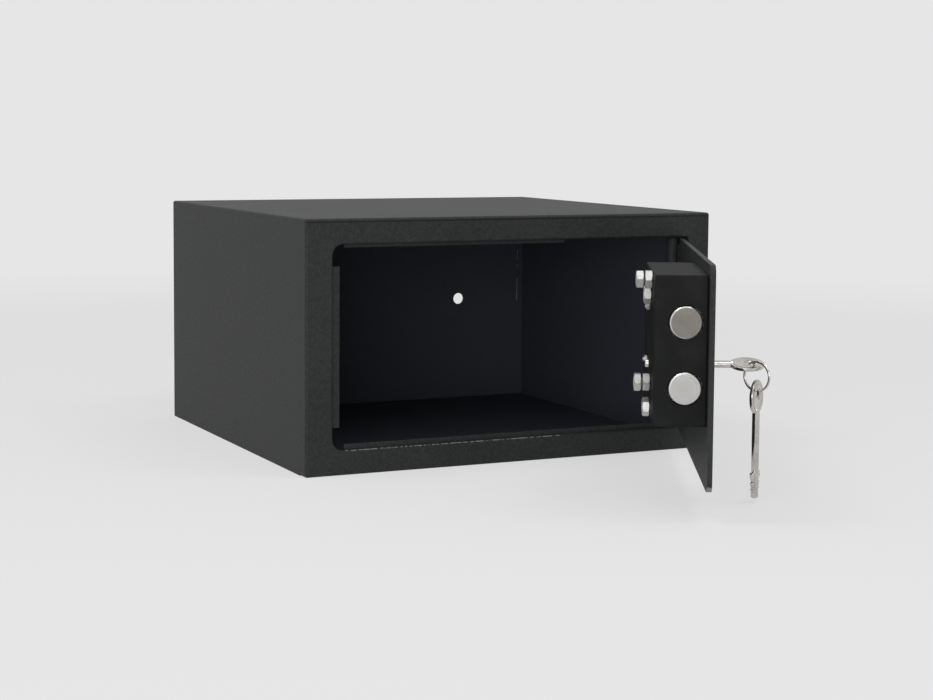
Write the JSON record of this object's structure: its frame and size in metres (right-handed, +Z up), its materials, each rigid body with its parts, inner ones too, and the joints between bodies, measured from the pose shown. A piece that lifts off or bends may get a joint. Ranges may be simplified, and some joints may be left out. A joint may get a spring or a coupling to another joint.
{
  "type": "furniture safe",
  "caption": "Low sheet-steel furniture safe with a hinged front door, a key lock that throws round bolts and a spare key on a ring.",
  "frame": {"origin": "centre of the underside of the body", "axes": "X right seen from the front, Y from front to back, Z up"},
  "size_m": [0.4, 0.6699, 0.22],
  "materials": {
    "body_paint": "fine-textured matt black powder coat",
    "case_paint": "smooth satin black paint",
    "zinc_fastener": "bright zinc plate",
    "bolt_steel": "turned steel, satin",
    "nickel_key": "polished nickel plate",
    "raw_steel": "cold-rolled, oiled",
    "brass_lock": "stamped, unpolished",
    "spring_steel": "blued spring strip"
  },
  "bodies": {
    "body": {"body_wrap": "body_paint", "floor_panel": "body_paint", "back_panel": "body_paint", "front_frame": "body_paint", "door_stop_left": "body_paint", "door_stop_top": "body_paint", "door_stop_bottom": "body_paint", "hinge_bracket_top": "body_paint", "hinge_bracket_bottom": "body_paint", "hinge_pin_top": "zinc_fastener", "hinge_pin_bottom": "zinc_fastener"},
    "door": {"door_panel": "body_paint", "hinge_tube": "body_paint", "key_escutcheon": "nickel_key", "lock_case": "case_paint", "case_stud_top": "zinc_fastener", "case_stud_upper": "zinc_fastener", "case_stud_lower": "zinc_fastener", "case_stud_bottom": "zinc_fastener", "case_nut_top_1": "zinc_fastener", "case_nut_top_2": "zinc_fastener", "case_nut_upper_1": "zinc_fastener", "case_nut_lower_1": "zinc_fastener", "case_nut_lower_2": "zinc_fastener", "case_nut_bottom_1": "zinc_fastener", "lock_tray": "raw_steel", "lock_cover": "raw_steel", "lock_screw_low": "zinc_fastener", "lock_screw_high": "zinc_fastener", "lock_nut_low": "zinc_fastener", "lock_nut_high": "zinc_fastener", "lever_spring_1": "spring_steel", "lever_spring_2": "spring_steel", "lever_spring_3": "spring_steel", "lever_spring_4": "spring_steel", "lever_spring_5": "spring_steel"},
    "bolts": {"bolt_lower": "bolt_steel", "bolt_upper": "bolt_steel", "bolt_carriage": "raw_steel", "bolt_screw_lower": "zinc_fastener", "bolt_screw_upper": "zinc_fastener", "lock_bolt": "brass_lock", "lock_stump": "raw_steel", "link_screw": "zinc_fastener"},
    "key": {"key": "nickel_key", "lock_rotor": "brass_lock"},
    "lever_1_body": {"lever_1": "brass_lock"},
    "lever_2_body": {"lever_2": "brass_lock"},
    "lever_3_body": {"lever_3": "brass_lock"},
    "lever_4_body": {"lever_4": "brass_lock"},
    "lever_5_body": {"lever_5": "brass_lock"},
    "ring": {"key_ring": "nickel_key"},
    "spare": {"spare_key": "nickel_key"}
  },
  "joints": [
    {"name": "door_hinge", "type": "hinge", "parent": "body", "child": "door", "pos_m": [0.1665, -0.1775, 0], "axis": [0, 0, 1], "range_deg": [-62, 28]},
    {"name": "bolt_throw", "type": "slide", "parent": "door", "child": "bolts", "axis": [-0.4695, -0.8829, 0], "range_m": [0, 0.02]},
    {"name": "key_turn", "type": "hinge", "parent": "door", "child": "key", "pos_m": [0.05749, -0.40381, 0.111], "axis": [0.8829, -0.4695, 0], "range_deg": [-106, 0]},
    {"name": "lever_1_lift", "type": "slide", "parent": "door", "child": "lever_1_body", "axis": [0, 0, 1], "range_m": [-0.0028, 0]},
    {"name": "lever_2_lift", "type": "slide", "parent": "door", "child": "lever_2_body", "axis": [0, 0, 1], "range_m": [-0.0012, 0]},
    {"name": "lever_3_lift", "type": "slide", "parent": "door", "child": "lever_3_body", "axis": [0, 0, 1], "range_m": [-0.0032, 0]},
    {"name": "lever_4_lift", "type": "slide", "parent": "door", "child": "lever_4_body", "axis": [0, 0, 1], "range_m": [-0.002, 0]},
    {"name": "lever_5_lift", "type": "slide", "parent": "door", "child": "lever_5_body", "axis": [0, 0, 1], "range_m": [-0.0008, 0]},
    {"name": "ring_swing", "type": "hinge", "parent": "key", "child": "ring", "pos_m": [0.0918, -0.42727, 0.11], "axis": [0.3746, -0.9272, 0], "range_deg": [-12, 30]},
    {"name": "spare_key_swing", "type": "hinge", "parent": "ring", "child": "spare", "pos_m": [0.0918, -0.42727, 0.0895], "axis": [0.5592, -0.829, 0], "range_deg": [-35, 35]}
  ],
  "couplings": [
    {"joint": "key_turn", "follows": "bolt_throw", "rad_per_m": -92.5},
    {"joint": "lever_1_lift", "follows": "bolt_throw", "ratio": -0.14},
    {"joint": "lever_2_lift", "follows": "bolt_throw", "ratio": -0.06},
    {"joint": "lever_3_lift", "follows": "bolt_throw", "ratio": -0.16},
    {"joint": "lever_4_lift", "follows": "bolt_throw", "ratio": -0.1},
    {"joint": "lever_5_lift", "follows": "bolt_throw", "ratio": -0.04}
  ]
}
